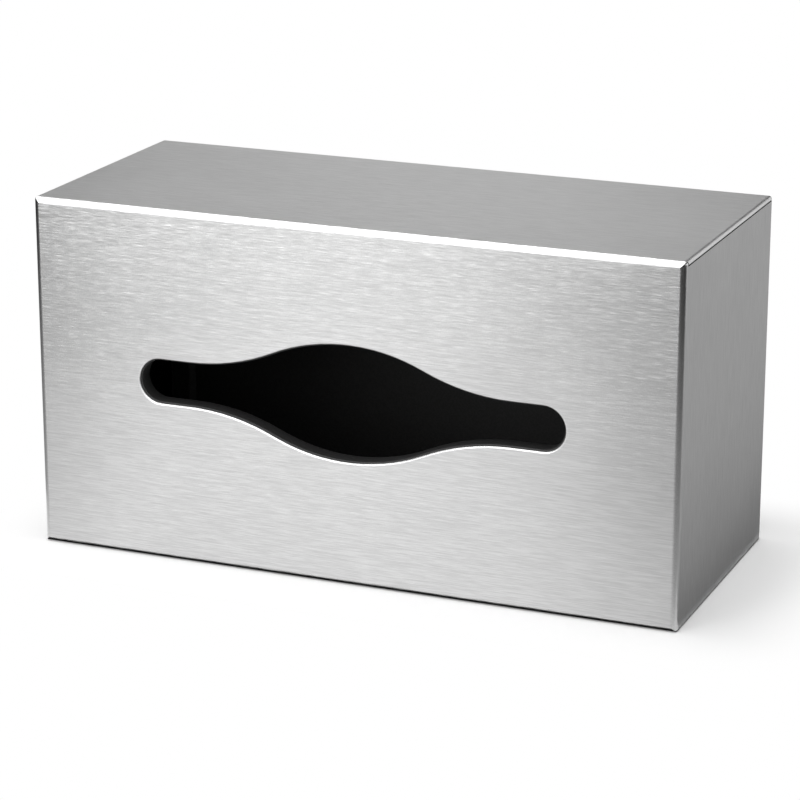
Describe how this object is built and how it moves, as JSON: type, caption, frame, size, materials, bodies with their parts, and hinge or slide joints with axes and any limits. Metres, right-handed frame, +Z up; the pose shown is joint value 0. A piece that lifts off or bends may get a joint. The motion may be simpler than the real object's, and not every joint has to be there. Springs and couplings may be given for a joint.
{
  "type": "tissue box dispenser",
  "caption": "Folded stainless steel dispenser for a box of facial tissues: a long pull slot with a bulged middle in the front, and a cover that slides up off a flat wall plate.",
  "frame": {"origin": "centre of the footprint, on the surface that the dispenser stands on", "axes": "+Z up, -Y out of the front panel, +X to the right seen from the front"},
  "size_m": [0.267, 0.114, 0.143],
  "materials": {
    "brushed_steel": "satin, brushed along the width",
    "black_plastic": "matt, moulded",
    "black_paint": "matt powder coat"
  },
  "bodies": {
    "mounting": {"wall_plate": "black_paint"},
    "cover": {"front_cover": "brushed_steel", "slot_rim": "black_plastic"}
  },
  "joints": [
    {"name": "cover_lift", "type": "slide", "parent": "mounting", "child": "cover", "axis": [0, 0, 1], "range_m": [0, 0.14]}
  ]
}
